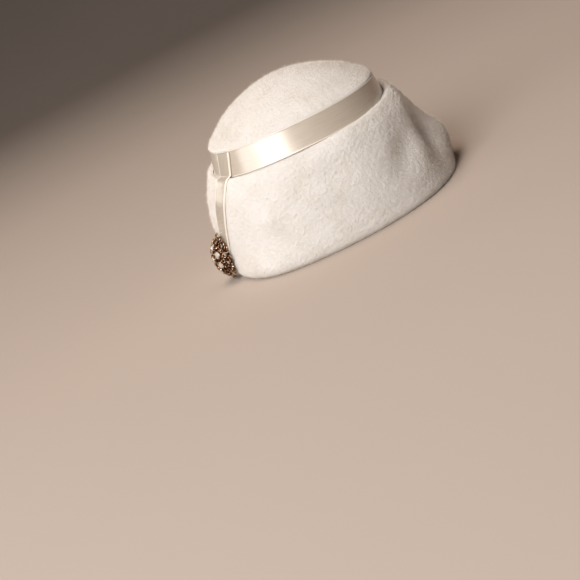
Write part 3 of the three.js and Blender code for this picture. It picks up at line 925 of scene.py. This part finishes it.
def paste_materials():
    """Clear lead glass, and the silver foil on the facets behind it."""
    glass, shader = new_material("clear_lead_glass_paste")
    place = node(glass, "ShaderNodeTexCoord").outputs["Object"]
    scuff = node(glass, "ShaderNodeTexNoise", {"Scale": 1 / (GLASS_SCUFF * MM), "Detail": 2.0}, Vector=place)
    worn = node(glass, "ShaderNodeMapRange", {"To Min": 0.0, "To Max": 0.06}, Value=scuff.outputs["Fac"])
    wire(glass, worn.outputs["Result"], shader.inputs["Roughness"])
    set_inputs(shader, {"Base Color": hex_colour("#fffcf6"), "IOR": 1.58, "Transmission Weight": 0.5})
    foil, shader = new_material("silver_foil_behind_the_stone")
    place = node(foil, "ShaderNodeTexCoord").outputs["Object"]
    crease = node(foil, "ShaderNodeTexNoise", {"Scale": 1 / (FOIL_CREASE * MM), "Detail": 3.0}, Vector=place)
    tone = node(foil, "ShaderNodeValToRGB", {"stops": ((0.35, "#e2ddd5"), (0.65, "#fffaf0"))},
                Fac=crease.outputs["Fac"])
    wire(foil, tone.outputs["Color"], shader.inputs["Base Color"])
    set_inputs(shader, {"Metallic": 0.6, "Roughness": 0.3})
    return glass, foil


def brilliant(radius):
    """Corners of a round brilliant: its culet, then rows of count, turn, share of the radius, and height."""
    table = (8, 0.0, 0.58, 1.9)
    star = (8, 0.5, 0.83, 1.5)
    girdle_top = (16, 0.0, 1.0, 0.9)
    girdle_foot = (16, 0.0, 1.0, 0.6)
    pavilion = (8, 0.5, 0.5, -0.5)
    corners = [[0, 0, -1.25]]
    for count, shift, share, height in (table, star, girdle_top, girdle_foot, pavilion):
        for k in range(count):
            a = (k + shift) * 2 * np.pi / count
            corners.append([share * radius * np.cos(a), share * radius * np.sin(a), height])
    return np.array(corners)


glass, foil = paste_materials()
for number, (angle, rise, radius) in enumerate(stone_places, 1):
    cut = bmesh.new()
    points = brooch_to_frame(brilliant(radius) @ dome_turn(angle, rise) + on_dome(angle, rise))
    for point in points:
        cut.verts.new(point)
    bmesh.ops.convex_hull(cut, input=cut.verts)
    bmesh.ops.recalc_face_normals(cut, faces=cut.faces)
    mesh = bpy.data.meshes.new(f"paste_stone_{number}")
    cut.to_mesh(mesh)
    cut.free()
    mesh.materials.append(glass)
    mesh.materials.append(foil)
    facing = brooch_turn.T @ dome_turn(angle, rise)[2]
    behind = [1 if Vector(facing).dot(f.normal) < FOILED else 0 for f in mesh.polygons]
    mesh.polygons.foreach_set("material_index", behind)
    stone = bpy.data.objects.new(f"paste_stone_{number}", mesh)
    bpy.context.scene.collection.objects.link(stone)
    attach(stone, "root")
    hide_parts(f"stone_{number}")
print(len(stone_places), "stones")

# %% [markdown]
# ## Floor, light and camera
# A pale sweep has no edge to show behind the hat; its colour darkens towards the far wall as painted shade.
# One large soft light stands to the left and in front, as in a portrait studio, so the left of the felt is
# bright and the right falls into soft shade. Three weaker ones help it: a low one at the left for the brooch
# and the ribbon, one overhead for the crown's top, and one behind at the left for the far edge. The camera is
# a long lens, a little above the hat and rolled, so that the hat sits at the tilt of the photograph.

# %% Floor
# Metres, and the shares of the sweep's rows that are flat, bent and upright.
SWEEP_FLAT = 2.2
SWEEP_BEND = 0.9
SWEEP_WALL = 3.0
FLAT_SHARE = 0.4
BEND_SHARE = 0.35
WALL_SHARE = 0.25
SWEEP_ROWS = 59
SWEEP_SIDES = 96
FADE_FROM = 0.9
FADE_TO = 3.4


def sweep_floor(material):
    """A floor that curves up into a wall well behind and beside the hat."""
    steps = np.linspace(0, 1, SWEEP_ROWS + 1)[1:, None]
    bend = np.clip(steps - FLAT_SHARE, 0, BEND_SHARE) / BEND_SHARE * np.pi / 2
    out = np.clip(steps / FLAT_SHARE, 0, 1) * SWEEP_FLAT + SWEEP_BEND * np.sin(bend)
    upright = np.clip(steps - FLAT_SHARE - BEND_SHARE, 0, 1) / WALL_SHARE
    up = SWEEP_BEND * (1 - np.cos(bend)) + SWEEP_WALL * upright
    grid = polar(out, np.linspace(0, 2 * np.pi, SWEEP_SIDES, endpoint=False), up)
    points = np.concatenate([grid.reshape(-1, 3), [[0, 0, 0]]])
    middle = len(points) - 1
    faces = quads(SWEEP_ROWS, SWEEP_SIDES, False, True)
    faces += [[middle, j, (j + 1) % SWEEP_SIDES] for j in range(SWEEP_SIDES)]
    return mesh_object("studio_sweep", points, faces, material)


def floor_material():
    """Matt painted board, faintly cloudy from the roller, pale round the hat; it darkens to grey at the far
    wall as painted shade.
    """
    material, shader = new_material("matt_painted_board")
    place = node(material, "ShaderNodeTexCoord").outputs["Object"]
    distance = node(material, "ShaderNodeVectorMath", {"operation": "LENGTH"})
    wire(material, place, distance.inputs[0])
    # Painted shade: the board darkens with distance from the hat, as if the far sweep were out of the light.
    fade = node(material, "ShaderNodeMapRange", {"From Min": FADE_FROM, "From Max": FADE_TO},
                Value=distance.outputs["Value"])
    cloud = node(material, "ShaderNodeTexNoise", {"Scale": 3.0, "Detail": 2.0}, Vector=place)
    blend = node(material, "ShaderNodeMath", {"operation": "MULTIPLY_ADD", 1: 0.05})
    wire(material, cloud.outputs["Fac"], blend.inputs[0])
    wire(material, fade.outputs["Result"], blend.inputs[2])
    tone = node(material, "ShaderNodeValToRGB", {"stops": ((0.0, "#b9aca1"), (1.0, "#5a5350"))},
                Fac=blend.outputs["Value"])
    wire(material, tone.outputs["Color"], shader.inputs["Base Color"])
    set_inputs(shader, {"Roughness": 0.9, "Specular IOR Level": 0.2})
    return material


floor = sweep_floor(floor_material())

# %% Light
HAT_MIDDLE = Vector((0.0, 0.0, 0.07))


def soft_light(name, place, size, power, colour):
    data = bpy.data.lights.new(name, "AREA")
    data.shape = "RECTANGLE"
    data.size, data.size_y = size
    data.energy = power
    data.color = hex_colour(colour)[:3]
    light = bpy.data.objects.new(name, data)
    light.location = place
    light.rotation_euler = (HAT_MIDDLE - Vector(place)).to_track_quat("-Z", "Y").to_euler()
    bpy.context.scene.collection.objects.link(light)
    print(name, power, "W")


soft_light("key_softbox", (-1.2, -2.15, 1.86), (1.6, 2.0), 87, "#fffefd")
soft_light("left_softbox", (-1.83, -1.05, 0.71), (1.5, 0.5), 10, "#fffefd")
soft_light("top_softbox", (-0.3, 0.2, 2.3), (1.2, 1.2), 27, "#ffeadb")
soft_light("back_left_softbox", (-1.5, 1.35, 0.62), (0.8, 0.6), 4, "#fff8f0")
world = bpy.data.worlds.new("studio_air")
world.use_nodes = True
set_inputs(world.node_tree.nodes["Background"], {"Color": hex_colour("#e8b890"), "Strength": 0.03})
bpy.context.scene.world = world

# %% Camera
CAMERA_DISTANCE = 1.5
CAMERA_ELEVATION = 13.914
CAMERA_TURN = 3.002
CAMERA_TIP = -1.569
CAMERA_ROLL = 26.992
MM_PER_PIXEL = 0.955
IMAGE_SIDE = 580
SENSOR = 36.0


def aim_camera():
    """Looks at the head's middle from in front and above, then turns, tips and rolls."""
    elevation = math.radians(CAMERA_ELEVATION)
    place = CAMERA_DISTANCE * Vector((0, -math.cos(elevation), math.sin(elevation)))
    ahead, right = -place.normalized(), Vector((1, 0, 0))
    up = right.cross(ahead)
    turn = Matrix.Rotation(math.radians(CAMERA_TURN), 3, up)
    ahead, right = turn @ ahead, turn @ right
    tip = Matrix.Rotation(math.radians(CAMERA_TIP), 3, right)
    ahead, up = tip @ ahead, tip @ up
    roll = Matrix.Rotation(math.radians(CAMERA_ROLL), 3, ahead)
    right, up = roll @ right, roll @ up
    data = bpy.data.cameras.new("studio_camera")
    data.sensor_width = SENSOR
    data.lens = SENSOR * CAMERA_DISTANCE / MM / MM_PER_PIXEL / IMAGE_SIDE
    data.clip_end = 50
    camera = bpy.data.objects.new("studio_camera", data)
    axes = Matrix((right, up, -ahead)).transposed().to_4x4()
    camera.matrix_world = Matrix.Translation(place + Vector(ORIGIN * MM)) @ axes
    bpy.context.scene.collection.objects.link(camera)
    bpy.context.scene.camera = camera
    print("lens", round(data.lens, 2), "mm")


aim_camera()
# The plain view transform shows the hex colours as they are written.
bpy.context.scene.view_settings.view_transform = "Standard"
